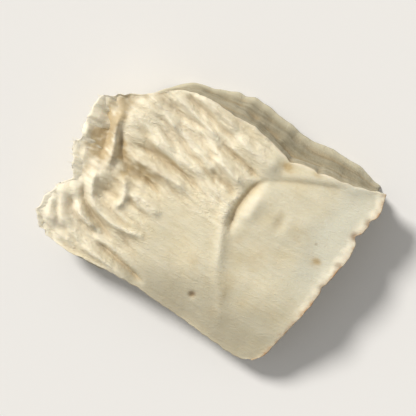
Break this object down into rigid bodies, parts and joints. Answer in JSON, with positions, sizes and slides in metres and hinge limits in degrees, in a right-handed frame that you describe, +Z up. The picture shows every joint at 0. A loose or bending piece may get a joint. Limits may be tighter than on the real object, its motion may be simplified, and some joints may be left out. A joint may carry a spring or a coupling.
{
  "type": "dried king oyster mushroom piece",
  "caption": "Dried chunk of king oyster mushroom stem, with wrinkled outer skin, a torn frilled end, a knife-cut end and a hollowed cut back that it rests on.",
  "frame": {"origin": "under the middle of the piece, on the surface that it lies on", "axes": "+X along the stem's fibres from the torn end to the knife-cut end, +Y across them to the long cut side, +Z up out of the skin"},
  "size_m": [0.0382, 0.0302, 0.0076],
  "materials": {
    "dried_flesh": "matte"
  },
  "bodies": {
    "root": {"mushroom_piece": "dried_flesh"}
  },
  "joints": []
}
